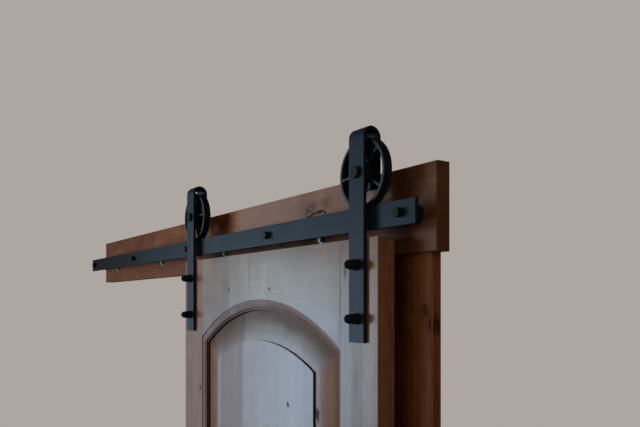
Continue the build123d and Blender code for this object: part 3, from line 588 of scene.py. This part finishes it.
boards = {
    # upright: the grain runs along Z. level: the tone at rest, from dark at 0 to light at 1.
    # tones, glossy and the warm ramp, which carries warm stain and painted warm light: (from this X on,
    # value), where the last entry is only the end, and soft is how wide the border of a tone is. knots:
    # (along, across), (reach along, reach across).
    # patches: the same and a change of tone. cracks: start, end, width. holes: (along, across),
    # reach. blotch, streak, curl and rings: how strongly the board shows that part of its grain.
    # arris: how far the stain is worn off its edges, with a highlight painted along them. glaze, for
    # moulded boards: the depths between which the dark stain and the painted shade of the recesses come
    # in, and how much of it; thin: how much of the varnish is missing there; slope: painted shade on
    # rising slopes.
    "header_board": {
        "upright": False, "seed": 1.0, "level": 0.57, "coat": 0.105, "blotch": 2.0, "curl": 0.9,
        "streak": 0.6,
        "glossy": [(-0.83, 0.0), (-0.20, 0.24), (0.16, 0.95), (0.89, 0.95)],
        # the tones are partly painted light: lighter in the middle where the window's light falls, and
        # darker from 0.74 as the painted shadow of the right wheel
        "tones": [(-0.83, 0.37), (-0.42, 0.38), (-0.335, 0.52), (-0.10, 0.55), (0.16, 0.78),
                  (0.47, 0.62), (0.74, 0.34), (0.810, 0.52), (0.858, 0.37), (0.89, 0.37)],
        "soft": 0.03,
        # the warm ramp paints warm light on the left end of the board
        "warmStainAndLight": [(-0.83, 1.0), (-0.10, 1.0), (0.30, 0.7), (0.55, 0.0), (0.89, 0.0)],
        # a knot with a wavy open crack under it, and the darker wood about it; the patches at 0.138 and
        # 0.772 are painted shadows of the two wheels on the board, and the long one at -0.024 is painted
        # shade under the rail
        "patches": [((0.518, 0.049), (0.028, 0.014), -0.30), ((0.562, 0.052), (0.028, 0.020), -0.30),
                    ((-0.385, 0.045), (0.035, 0.030), -0.10), ((0.138, 0.050), (0.066, 0.054), -0.55),
                    ((0.772, 0.050), (0.030, 0.050), -0.30), ((0.40, -0.024), (0.44, 0.036), -0.70)],
        "cracks": [((0.4925, 0.0305), (0.5350, 0.0365), 0.0026),
                   ((0.5220, 0.0352), (0.5580, 0.0370), 0.0036),
                   ((0.5480, 0.0375), (0.5630, 0.0300), 0.0022),
                   ((0.4923, 0.0310), (0.4945, 0.0480), 0.0022),
                   ((0.4935, 0.0470), (0.5120, 0.0375), 0.0022)],
    },
    "casing_left": {"upright": True, "seed": 2.0, "level": 0.42, "coat": 0.12, "arris": 0.5},
    "casing_right": {
        # its arris gets a painted highlight along its front edge; the tones paint the leaf's shadow on
        # the casing, near black beside the leaf's edge and lighter away from it, and painted shade on
        # the side face from 0.8325
        "upright": True, "seed": 3.4, "level": 0.48, "coat": 0.040, "blotch": 1.6, "arris": 0.8,
        "tones": [(0.740, 0.05), (0.768, 0.18), (0.781, 0.52), (0.793, 0.80), (0.808, 0.98),
                  (0.8325, 0.38), (0.86, 0.38)],
        "warmStainAndLight": [(0.740, 0.55), (0.80, 0.55), (0.860, 0.55)],
        "soft": 0.007,
        "knots": [((-0.1516, 0.8206), (0.008, 0.0055)), ((-0.1749, 0.8335), (0.009, 0.0045))],
        "patches": [((-0.17, 0.828), (0.035, 0.012), -0.15), ((-0.28, 0.832), (0.060, 0.010), 0.10)],
    },
    "stile_left": {
        "upright": True, "seed": 4.1, "level": 0.76, "coat": 0.136, "streak": 0.7,
        "cracks": [((-0.3370, 0.1000), (-0.3480, 0.1000), 0.0050)],
        "patches": [((-0.3426, 0.1002), (0.009, 0.004), -0.4)],
    },
    "stile_right": {
        "upright": True, "seed": 5.7, "level": 0.51, "coat": 0.198, "streak": 0.7,
        "tones": [(0.672, 0.56), (0.703, 0.50), (0.735, 0.60), (0.774, 0.60)], "soft": 0.006,
        "knots": [((-0.0874, 0.6857), (0.0075, 0.0030))],
        "patches": [((-0.268, 0.716), (0.045, 0.010), -0.12)],
    },
    "top_rail": {
        "upright": False, "seed": 6.3, "level": 0.50, "curl": 1.2, "streak": 0.45, "rings": 0.03,
        "tones": [(0.10, 0.52), (0.149, 0.47), (0.252, 0.53), (0.273, 0.55), (0.342, 0.50),
                  (0.357, 0.56), (0.417, 0.51), (0.509, 0.53), (0.56, 0.50), (0.69, 0.50)],
        "soft": 0.008,
        "cracks": [((0.3462, -0.0330), (0.3462, -0.1110), 0.0007),
                   ((0.6722, -0.026), (0.6722, -0.215), 0.0012)],
        "holes": [((0.2526, -0.1096), 0.0046), ((0.4310, -0.1106), 0.0046)],
    },
    "lock_rail": {
        "upright": False, "seed": 7.9, "level": 0.50, "curl": 1.0, "streak": 0.45, "rings": 0.03,
        "knots": [((0.285, -1.205), (0.009, 0.005))],
        "holes": [((0.2526, -1.25), 0.0027), ((0.5310, -1.25), 0.0027)],
    },
    "bottom_rail": {
        "upright": False, "seed": 8.2, "level": 0.50, "curl": 1.0, "streak": 0.45, "rings": 0.03,
        "knots": [((0.520, -1.96), (0.012, 0.006))],
        "holes": [((0.2526, -1.90), 0.0027), ((0.5310, -1.90), 0.0027)],
    },
    "upper_panel": {
        "upright": True, "seed": 9.6, "level": 0.60, "streak": 0.6, "rings": 0.06,
        "tones": [(0.10, 0.54), (0.212, 0.40), (0.3184, 0.50), (0.4982, 0.54), (0.5497, 0.51),
                  (0.69, 0.51)],
        "soft": 0.0006,
        "knots": [((-0.3400, 0.5969), (0.0080, 0.0045)),
                  ((-0.620, 0.2550), (0.0090, 0.0055)), ((-0.905, 0.4420), (0.0060, 0.0030))],
        "patches": [((-0.192, 0.500), (0.022, 0.035), -0.16), ((-0.154, 0.404), (0.012, 0.028), -0.14),
                    ((-0.352, 0.5969), (0.016, 0.0035), -0.18),
                    ((-0.3888, 0.4253), (0.010, 0.004), -0.18)],
        "cracks": [((-0.3310, 0.4990), (-0.3410, 0.5035), 0.0042),
                   ((-0.334, 0.5965), (-0.358, 0.5990), 0.0034)],
        "holes": [((-0.3375, 0.5020), 0.0046), ((-0.3400, 0.5969), 0.0062)],
    },
    "lower_panel": {
        "upright": True, "seed": 10.9, "level": 0.60, "streak": 0.6, "rings": 0.06,
        "tones": [(0.10, 0.50), (0.235, 0.58), (0.362, 0.47), (0.471, 0.55), (0.571, 0.49),
                  (0.69, 0.49)],
        "soft": 0.0006,
        "knots": [((-1.62, 0.4150), (0.0110, 0.0060)), ((-1.44, 0.5300), (0.0050, 0.0028))],
    },
    "rail_dowels": {"upright": False, "seed": 11.5, "level": 0.62},
}


def placedAt(board, centre, reach):
    return {"Vector": board, "Centre": (*centre, 0.0), "Reach": (*reach, 1.0)}


def addFigure(tree, level, grain, look, weights):
    # adds the effects of the grain to a tone or a sheen
    for effect, (centre, weight, own, usual) in weights.items():
        level = addScaled(tree, level, grain[effect], centre, weight * look.get(own, usual))
    return level


def bandsOf(tree, look, board, x):
    # the tone and sheen of a board before its grain, and the seed of the grain: the bands run
    # across a rail, and down a panel as its staves, which each have a grain of their own
    level = mathNode(tree, "ADD", look["level"], 0.0)
    sheen = mathNode(tree, "ADD", 1.0, 0.0)
    if "glossy" in look:
        sheen = toneRamp(tree, x, look["glossy"], alder["sheenSoft"])
    if "tones" not in look:
        return level, sheen, look["seed"]
    staves = look["soft"] < alder["jointSoft"]
    if staves:
        tone = toneRamp(tree, x, look["tones"], look["soft"])
    else:
        uneven = stretched(tree, board, *alder["uneven"])
        bent = addScaled(tree, x, uneven, 0.5, look["soft"] * alder["unevenShare"])
        tone = toneRamp(tree, bent, look["tones"], look["soft"])
    level = addScaled(tree, level, tone, 0.5, 1.0)
    sheen = addScaled(tree, sheen, tone, 0.5, alder["toneSheen"])
    if not staves:
        return level, sheen, look["seed"]
    return level, sheen, mathNode(tree, "MULTIPLY_ADD", tone, alder["staveSeed"], look["seed"])


def marksOf(tree, look, board, front):
    # the grain's vector as the knots push it aside, the dark of all marks, and the knots' halo
    pushed, dark, halo = board, 0.0, 0.0
    for centre, reach in look.get("knots", ()):
        knot = useGroup(tree, knotGroup, placedAt(board, centre, reach))
        pushed = vectorNode(tree, "ADD", pushed, knot["Push"])
        core = mathNode(tree, "MULTIPLY", knot["Core"], alder["coreShare"])
        dark = mathNode(tree, "MAXIMUM", mathNode(tree, "MAXIMUM", core, knot["Ring"]), dark)
        halo = mathNode(tree, "MAXIMUM", knot["Halo"], halo)
    for start, end, width in look.get("cracks", ()):
        crack = useGroup(tree, crackGroup, {
            "Vector": board, "Start": (*start, 0.0), "End": (*end, 0.0), "Width": width})
        dark = mathNode(tree, "MAXIMUM", mathNode(tree, "MULTIPLY", crack["Mask"], front), dark)
    for centre, reach in look.get("holes", ()):
        hole = useGroup(tree, patchGroup, placedAt(board, centre, (reach, reach)) | alder["hole"])
        dark = mathNode(tree, "MAXIMUM", hole["Mask"], dark)
    return pushed, dark, halo


def glazeAndShadeOf(tree, look, place, facing):
    # dark stain in the corners of the mouldings and painted shade in their recesses, on their side walls
    # and on the slopes that rise under the arch, by the depth below the leaf's face, and how thin the
    # varnish lies there
    x, y, z = place
    low, high, most = look["glazeAndShade"]
    off = mathNode(tree, "ABSOLUTE", mathNode(tree, "SUBTRACT", y, leaf["depth"]))
    sunk = mathNode(tree, "SUBTRACT", leaf["half"], off)
    aside = mathNode(tree, "ABSOLUTE", mathNode(tree, "SUBTRACT", x, leaf["middle"]))
    inner = mathNode(tree, "LESS_THAN", aside, leaf["innerHalf"])
    for upper, lower in ((leaf["innerTop"], z), (z, leaf["innerLow"])):
        inner = mathNode(tree, "MULTIPLY", inner, mathNode(tree, "GREATER_THAN", upper, lower))
    wall = rangeNode(tree, mathNode(tree, "ABSOLUTE", facing[1]), *moulding["wallFacing"], 1.0, 0.0)
    deep = rangeNode(tree, sunk, low, high, 0.0, most)
    shadedSlope = rangeNode(tree, sunk, *moulding["slopeDepth"], moulding["slopeLeast"], look["shadedSlope"])
    rising = rangeNode(tree, facing[2], *moulding["slopeFacing"])
    shadedSlope = mathNode(tree, "MULTIPLY", shadedSlope, rising)
    glazeAndShade = mathNode(tree, "MAXIMUM", mathNode(tree, "MAXIMUM", wall, deep), shadedSlope)
    thin = rangeNode(tree, sunk, *moulding["thinDepth"], 0.0, look["thin"])
    return mathNode(tree, "MULTIPLY", glazeAndShade, inner), mathNode(tree, "MULTIPLY", thin, inner)


def arrisOf(tree, name, look, place, mottle):
    # the stain is worn thin along the board's long edges, with a highlight painted there: on a face, the
    # larger of the distances to the sides of the board's box is the distance to its nearest edge
    x, y, z = place
    low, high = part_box(name)
    side, first, last = (x, low.x, high.x) if look["upright"] else (z, low.z, high.z)
    gaps = []
    for at, start, end in ((side, first, last), (y, low.y, high.y)):
        before, behind = mathNode(tree, "SUBTRACT", at, start), mathNode(tree, "SUBTRACT", end, at)
        gaps.append(mathNode(tree, "MINIMUM", before, behind))
    reach = addScaled(tree, mathNode(tree, "MAXIMUM", *gaps), mottle, 0.5, alder["arrisRagged"])
    return rangeNode(tree, reach, *alder["arrisReach"], look.get("arris", alder["arris"]), 0.0)


def makeAlder(name, look):
    # stained and varnished alder for one board
    material, tree, shader, place = newMaterial("alder_" + name)
    normal = place["Normal"]
    x, y, z = splitNode(tree, place["Object"])
    facing = splitNode(tree, normal)
    board = joinNode(tree, z, x, y) if look["upright"] else joinNode(tree, x, z, y)
    front = rangeNode(tree, facing[1], *alder["frontFacing"], 1.0, 0.0)
    level, sheen, seed = bandsOf(tree, look, board, x)
    pushed, dark, halo = marksOf(tree, look, board, front)
    grain = useGroup(tree, grainGroup, {
        "Vector": pushed, "Seed": seed, "Ring Pitch": figure["ringPitch"]})
    for centre, reach, change in look.get("patches", ()):
        patch = useGroup(tree, patchGroup, placedAt(board, centre, reach))
        mask = mathNode(tree, "MULTIPLY", patch["Mask"], front)
        level = addScaled(tree, level, mask, 0.0, change)
        sheen = addScaled(tree, sheen, mask, 0.0, change * alder["patchSheen"])
    level = addFigure(tree, level, grain, look, alder["toneWeights"])
    level = addScaled(tree, level, halo, 0.0, alder["haloTone"])
    level = mathNode(tree, "ADD", level, 0.0, clamp=True)
    shades = newNode(tree, "ShaderNodeValToRGB", {"Fac": level})
    elements = shades.color_ramp.elements
    elements[0].color = (*alder["dark"], 1)
    elements[1].color = (*alder["light"], 1)
    elements.new(0.5).color = (*alder["middle"], 1)
    fleck = mathNode(tree, "MULTIPLY", grain["Fleck"], alder["fleckShare"])
    colour = mixColour(tree, fleck, shades.outputs[0], alder["dark"])
    covered = mathNode(tree, "MULTIPLY", dark, alder["markShare"])
    colour = mixColour(tree, covered, colour, alder["knotCore"])
    glazeAndShade, thin = glazeAndShadeOf(tree, look, (x, y, z), facing) if "glazeAndShade" in look else (0.0, 0.0)
    # the mouldings' corners and recesses take dark stain and painted shade
    stainAndShade = mathNode(tree, "MULTIPLY", glazeAndShade, moulding["stainAndShadeShare"])
    colour = mixColour(tree, stainAndShade, colour, alder["glazeAndShade"])
    arris = arrisOf(tree, name, look, (x, y, z), grain["Mottle"])
    # worn edges, lighter also as a painted highlight
    colour = mixColour(tree, arris, colour, alder["wornAndHighlit"])
    # a warm tint: warmer stain, and on the header painted warm light
    if "warmStainAndLight" in look:
        warmth = toneRamp(tree, x, look["warmStainAndLight"], alder["warmSoft"])
        colour = mixColour(tree, warmth, colour, alder["warmStainAndLight"], blend="MULTIPLY")

    # end grain drinks more stain and shows no fibre
    ends = rangeNode(
        tree, mathNode(tree, "ABSOLUTE", facing[2 if look["upright"] else 0]), *alder["endFacing"])
    colour = mixColour(tree, mathNode(tree, "MULTIPLY", ends, alder["endShare"]), colour, alder["dark"])
    tree.links.new(colour, shader.inputs["Base Color"])

    # the varnish: thick on the faces, uneven with the grain, dull on marks and in corners
    build = useGroup(tree, faceGroup, {"Normal": normal, "Edge": alder["coatEdge"]})["Mask"]
    gloss = mathNode(tree, "MULTIPLY", build, look.get("coat", alder["coat"]))
    patchy = addFigure(tree, sheen, grain, look, alder["sheenWeights"])
    gloss = mathNode(tree, "MULTIPLY", gloss, patchy)
    dulled = mathNode(tree, "MAXIMUM", covered, mathNode(tree, "MULTIPLY", glazeAndShade, moulding["dullShare"]))
    gloss = mathNode(tree, "MULTIPLY", gloss, mathNode(tree, "SUBTRACT", 1.0, dulled), clamp=True)
    gloss = mathNode(tree, "MULTIPLY", gloss, mathNode(tree, "SUBTRACT", 1.0, thin))
    tree.links.new(gloss, shader.inputs["Coat Weight"])

    height = mathNode(tree, "MULTIPLY_ADD", grain["Fleck"], alder["fleckDepth"], grain["Fibre"])
    height = mathNode(tree, "MULTIPLY_ADD", dark, alder["markDepth"], height)
    bump = newNode(tree, "ShaderNodeBump", {
        "Height": height, "Distance": alder["fibreHeight"], "Strength": alder["bump"]})
    tree.links.new(bump.outputs[0], shader.inputs["Normal"])
    rough = rangeNode(tree, grain["Fibre"], *alder["fibreRange"], *alder["roughness"], smooth=False)
    tree.links.new(rough, shader.inputs["Roughness"])
    shader.inputs["Specular IOR Level"].default_value = alder["specular"]
    shader.inputs["Coat Roughness"].default_value = alder["coatRoughness"]
    return material


def dress(name, material):
    nodes[name].material_slots[0].material = material


# glaze: dark stain and painted shade in the mouldings' corners; slope: painted shade on the panels'
# rising slopes
for name in ("stile_left", "stile_right", "top_rail", "lock_rail", "bottom_rail"):
    boards[name] |= {"glazeAndShade": (0.0042, 0.0064, 0.55), "thin": 0.7, "shadedSlope": 0.0}
for name in ("upper_panel", "lower_panel"):
    boards[name] |= {"glazeAndShade": (0.0090, 0.0120, 0.45), "thin": 0.10, "shadedSlope": 0.62}
for name, look in boards.items():
    dress(name, makeAlder(name, look))
print("wood dressed")

steel = {
    "farEndShade": (0.022, 0.0165, 0.0130),       # painted shade and dim warm reflection at the far end of the rail
    "shadedSide": (0.0070, 0.0085, 0.0105),
    "dust": (0.045, 0.045, 0.042),
    "rubbed": (0.028, 0.028, 0.029),
    "rubShare": 0.25,
    "dustShare": 0.30,
    "farEndShadeSoft": 0.30,                      # metres over which the painted shade at the far end comes in
    "roughness": (0.45, 0.55),
    "specular": 0.0,
    "glossUneven": 0.16,                   # how much the sheen drifts, and follows the orange peel
    "peelUneven": 0.5,
    "peelHeight": 0.00005,
    "bump": 0.5,
}
blacks = {
    # colour of the faces, painted lit and bluish, coat and its roughness, grains to a metre, share of
    # the coat on the sides. The ramp along X of a long piece: (from this X on, how little painted shade
    # lies on it).
    "satinBlackSteel": {
        "colour": (0.0114, 0.0222, 0.0360), "coat": 0.107, "coatRoughness": 0.36, "grain": 900.0,
        "edge": 0.05,
    },
    "railBlackSteel": {
        "colour": (0.0114, 0.0222, 0.0360), "coat": 0.10, "coatRoughness": 0.36, "grain": 900.0,
        "edge": 0.05,
        "litShare": [(-0.85, 0.12), (-0.60, 0.40), (-0.34, 0.80), (-0.02, 1.0), (0.81, 1.0)],
    },
    "wheelBlackSteel": {
        "colour": (0.0120, 0.0165, 0.0270), "coat": 0.20, "coatRoughness": 0.30, "grain": 700.0,
        "edge": 0.10,
    },
    "boltBlackSteel": {
        "colour": (0.0070, 0.0085, 0.0105), "coat": 0.085, "coatRoughness": 0.25, "grain": 1400.0,
        "edge": 0.85,
    },
}
bare = {
    "grain": 700.0,
    "drift": 0.78,                         # how dark the colour drifts
    "speck": (0.12, 0.115, 0.11),
    "speckShare": 0.5,
    "roughness": (-0.06, 0.08),            # changes of the finish's own roughness
    "scratchDepth": 0.00004,
    "bump": 0.4,
}


def makeBlackSteel(name):
    # sprayed black steel, with painted light: lit and bluish on its flat faces and shaded plain black
    # round its sides
    look = blacks[name]
    material, tree, shader, place = newMaterial(name)
    spray = useGroup(tree, sprayGroup, {"Vector": place["Object"], "Grain": look["grain"]})
    build = useGroup(tree, faceGroup, {"Normal": place["Normal"], "Edge": look["edge"]})["Mask"]
    # painted light: the flat faces take the lit bluish colour and the sides the darker shaded one
    flat = rangeNode(tree, build, look["edge"], 1.0)
    colour = mixColour(tree, flat, steel["shadedSide"], look["colour"])
    # painted shade: towards the rail's far end the colour turns dim and warm and the coat dulls
    if "litShare" in look:
        litShare = toneRamp(tree, splitNode(tree, place["Object"])[0], look["litShare"], steel["farEndShadeSoft"])
        colour = mixColour(tree, litShare, steel["farEndShade"], colour)
        build = mathNode(tree, "MULTIPLY", build, litShare)
    for effect, share, other in (("Rub", "rubShare", "rubbed"), ("Dust", "dustShare", "dust")):
        marked = mathNode(tree, "MULTIPLY", spray[effect], steel[share])
        colour = mixColour(tree, marked, colour, steel[other])
    tree.links.new(colour, shader.inputs["Base Color"])
    rough = rangeNode(tree, spray["Gloss"], 0.0, 1.0, *steel["roughness"], smooth=False)
    tree.links.new(rough, shader.inputs["Roughness"])
    patchy = addScaled(tree, 1.0, spray["Gloss"], 0.5, steel["glossUneven"])
    patchy = addScaled(tree, patchy, spray["Peel"], 0.5, steel["peelUneven"])
    gloss = mathNode(tree, "MULTIPLY", build, look["coat"])
    gloss = mathNode(tree, "MULTIPLY", gloss, patchy, clamp=True)
    tree.links.new(gloss, shader.inputs["Coat Weight"])
    bump = newNode(tree, "ShaderNodeBump", {
        "Height": spray["Peel"], "Distance": steel["peelHeight"], "Strength": steel["bump"]})
    tree.links.new(bump.outputs[0], shader.inputs["Normal"])
    shader.inputs["Specular IOR Level"].default_value = steel["specular"]
    shader.inputs["Coat Roughness"].default_value = look["coatRoughness"]
    return material


def makeBareSteel(name, colour, rough):
    # plated or ground steel: the tint and gloss drift, with fine scratches and grey specks
    material, tree, shader, place = newMaterial(name)
    spray = useGroup(tree, sprayGroup, {"Vector": place["Object"], "Grain": bare["grain"]})
    tint = mixColour(tree, spray["Gloss"], colour, tuple(bare["drift"] * c for c in colour))
    specks = mathNode(tree, "MULTIPLY", spray["Dust"], bare["speckShare"])
    tint = mixColour(tree, specks, tint, bare["speck"])
    tree.links.new(tint, shader.inputs["Base Color"])
    smoothest, roughest = (rough + change for change in bare["roughness"])
    drifting = rangeNode(tree, spray["Gloss"], 0.0, 1.0, smoothest, roughest, smooth=False)
    tree.links.new(drifting, shader.inputs["Roughness"])
    bump = newNode(tree, "ShaderNodeBump", {
        "Height": spray["Rub"], "Distance": bare["scratchDepth"], "Strength": bare["bump"]})
    tree.links.new(bump.outputs[0], shader.inputs["Normal"])
    shader.inputs["Metallic"].default_value = 1.0
    return material


satinBlack = makeBlackSteel("satinBlackSteel")
railBlack = makeBlackSteel("railBlackSteel")
wheelBlack = makeBlackSteel("wheelBlackSteel")
boltBlack = makeBlackSteel("boltBlackSteel")
zinc = makeBareSteel("zincSteel", (0.10, 0.135, 0.15), 0.42)
bearingSteel = makeBareSteel("bearingSteel", (0.46, 0.46, 0.45), 0.25)
finishes = {
    railBlack: ("rail",),
    satinBlack: ("rail_spacers", "strap_left", "strap_right", "guide_bracket", "guide_channel",
                 "pull_handle", "axle_sleeves"),
    wheelBlack: ("wheel_left", "wheel_right"),
    boltBlack: ("rail_lag_bolts", "door_bolts", "back_washers", "front_washers", "acorn_nuts",
                "axle_bolts", "axle_nuts", "guide_bolts", "pull_screws"),
    zinc: ("header_screws", "guide_screws"),
    bearingSteel: [name for name in nodes if name.startswith("bearing_")],
}
for material, names in finishes.items():
    for name in names:
        dress(name, material)
print("steel dressed")

# The threads of the bolts and screws that go into the wall. Metres: where the screws stand, their
# pitch, the ridge's height, how far the thread runs, the core's radius, and the point's length and
# radius.
studSpacing = 0.4064
threads = {
    "lagThreads": {
        "node": "rail_lag_bolts", "centres": [(studSpacing * i, 0.0) for i in (-2, -1, 0, 1, 2)],
        "pitch": 0.0029, "rise": 0.0006, "run": 0.031, "core": 0.0045, "tip": 0.008, "point": 0.0008,
        "material": boltBlack, "slot": "black_steel",
    },
    "screwThreads": {
        "node": "header_screws", "centres": [(0.5454 - studSpacing * i, -0.018) for i in range(4)],
        "pitch": 0.0023, "rise": 0.0005, "run": 0.046, "core": 0.0032, "tip": 0.007, "point": 0.0005,
        "material": zinc, "slot": "zinc_steel",
    },
}
ridge = {
    "steps": 28,                           # to a turn
    "starts": 0.7,                         # turns over which it rises from the shank
    "ends": 1.5,                           # turns over which it runs out at the point
    "least": 0.02,
    # the section's four corners: share of the rise, and share of the pitch
    "out": (-0.3, 1.0, 1.0, -0.3),
    "along": (-0.36, -0.08, 0.08, 0.36),
}


def windThread(name, form):
    # A right-handed ridge wound round a core that runs along +Y. t counts turns: the ridge's middle
    # is at y = start + pitch t, at the core's radius there, which falls in a straight line to the
    # point. Its section is a trapezium with its foot in the core, and it runs out at both ends.
    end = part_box(form["node"])[1].y
    turns = (form["run"] - form["point"]) / form["pitch"]
    t = np.linspace(0.0, turns, int(turns * ridge["steps"]))[:, None]
    middle = end - form["run"] + form["pitch"] * t
    core = np.interp(middle, (end - form["tip"], end), (form["core"], form["point"]))
    share = np.clip(np.minimum(t / ridge["starts"], (turns - t) / ridge["ends"]), ridge["least"], 1.0)
    radius = core + share * form["rise"] * np.array(ridge["out"])
    y = middle + share * form["pitch"] * np.array(ridge["along"])
    angle = 2 * np.pi * t
    coil = np.stack((radius * np.cos(angle), y, -radius * np.sin(angle)), axis=-1).reshape(-1, 3)
    rings = len(t)
    start = np.arange(rings - 1)[:, None] * 4 + np.arange(4)
    after = np.arange(rings - 1)[:, None] * 4 + (np.arange(4) + 1) % 4
    quads = np.stack((start + 4, after + 4, after, start), axis=-1).reshape(-1, 4)
    caps = np.array([(0, 1, 2, 3), np.arange(3, -1, -1) + 4 * (rings - 1)])
    faces = np.concatenate((quads, caps))
    centres = np.array([(x, 0.0, z) for x, z in form["centres"]])
    points = (centres[:, None] + coil).reshape(-1, 3)
    faces = (np.arange(len(centres))[:, None, None] * len(coil) + faces).reshape(-1, 4)
    mesh = bpy.data.meshes.new(name)
    mesh.from_pydata(points, [], faces)
    mesh.materials.append(form["material"])
    made = bpy.data.objects.new(name, mesh)
    scene.collection.objects.link(made)
    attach(made, "frame")


for name, form in threads.items():
    windThread(name, form)
print("threads wound")

floorMesh = bpy.data.meshes.new("paleFloor")
floorMesh.from_pydata(
    [(x * room["floorReach"], y * room["floorReach"], room["floorHeight"])
     for x, y in ((-1, -1), (1, -1), (1, 1), (-1, 1))],
    [], [(0, 1, 2, 3)],
)
floor = bpy.data.objects.new("paleFloor", floorMesh)
scene.collection.objects.link(floor)
floorMaterial, floorTree, floorShader, floorPlace = newMaterial("paleFloor")
away = lengthNode(floorTree, flatNode(floorTree, floorPlace["Object"]))
faded = rangeNode(floorTree, away, *room["floorFade"])
floorColour = mixColour(floorTree, faded, room["floor"], room["floorFar"])
floorTree.links.new(floorColour, floorShader.inputs["Base Color"])
floorShader.inputs["Roughness"].default_value = room["floorRoughness"]
floorShader.inputs["Specular IOR Level"].default_value = 0.0
floorPath = newNode(floorTree, "ShaderNodeLightPath").outputs
seen = mathNode(floorTree, "MAXIMUM", floorPath["Is Camera Ray"], floorPath["Is Glossy Ray"])
seen = mathNode(floorTree, "MAXIMUM", seen, floorPath["Is Transmission Ray"])
faded = rangeNode(floorTree, away, *room["glowFade"])
glow = mixColour(floorTree, faded, room["floorGlow"], room["background"])
glow = mixColour(floorTree, seen, (0.0, 0.0, 0.0), glow)
floorTree.links.new(glow, floorShader.inputs["Emission Color"])
floorShader.inputs["Emission Strength"].default_value = 1.0
floorMesh.materials.append(floorMaterial)
